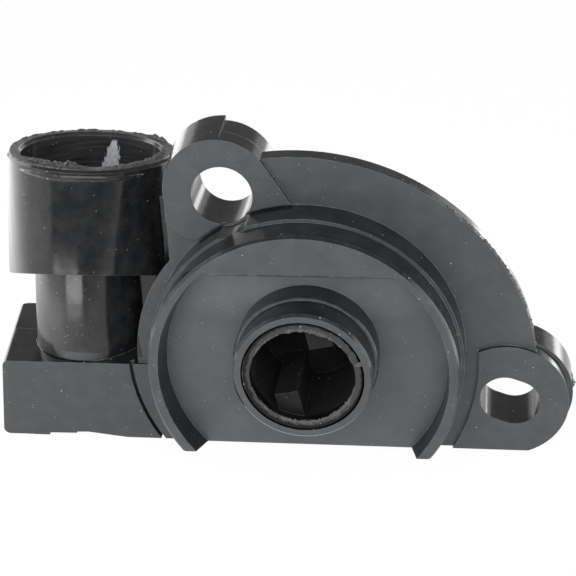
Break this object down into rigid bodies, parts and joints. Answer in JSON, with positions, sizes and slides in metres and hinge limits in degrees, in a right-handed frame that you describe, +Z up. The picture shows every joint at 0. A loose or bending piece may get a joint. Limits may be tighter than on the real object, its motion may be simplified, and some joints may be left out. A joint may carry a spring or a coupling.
{
  "type": "throttle position sensor",
  "caption": "Rotary position sensor: D-shaped drum with an open collar and a socketed hub, a flange with a round hole and a slot, and an upright round connector shroud at one side.",
  "frame": {"origin": "on the rotor's axis, in the plane of the two mounting pads", "axes": "X right towards the slotted ear, Y from the mounting side to the back, Z up along the connector tower's side"},
  "size_m": [0.0736, 0.0318, 0.0416],
  "materials": {
    "housing_plastic": "glass-filled moulding, satin black with dust",
    "cover_plastic": "satin black moulding",
    "seal_rubber": "black rubber",
    "rotor_plastic": "black moulding, matt",
    "washer_plastic": "natural slip washer",
    "spring_steel": "drawn wire",
    "contact_brass": "stamped strip",
    "board_laminate": "pale laminate",
    "track_ink": "printed carbon",
    "track_silver": "printed silver",
    "rivet_metal": "tinned",
    "potting_resin": "cast resin"
  },
  "bodies": {
    "body": {"housing": "housing_plastic", "rear_cover": "cover_plastic", "cover_seal": "seal_rubber", "shaft_seal": "seal_rubber", "thrust_washer": "washer_plastic", "return_spring": "spring_steel", "element_board": "board_laminate", "resistive_track": "track_ink", "collector_track": "track_silver", "terminal_supply": "contact_brass", "terminal_signal": "contact_brass", "terminal_ground": "contact_brass", "board_rivets": "rivet_metal", "potting": "potting_resin"},
    "rotor": {"rotor": "rotor_plastic", "wiper": "contact_brass"}
  },
  "joints": [
    {"name": "rotor_turn", "type": "hinge", "parent": "body", "child": "rotor", "pos_m": [0, 0, 0], "axis": [0, -1, 0], "range_deg": [0, 100], "stiffness_Nm_per_rad": 0.02, "deforming": ["return_spring"]}
  ]
}
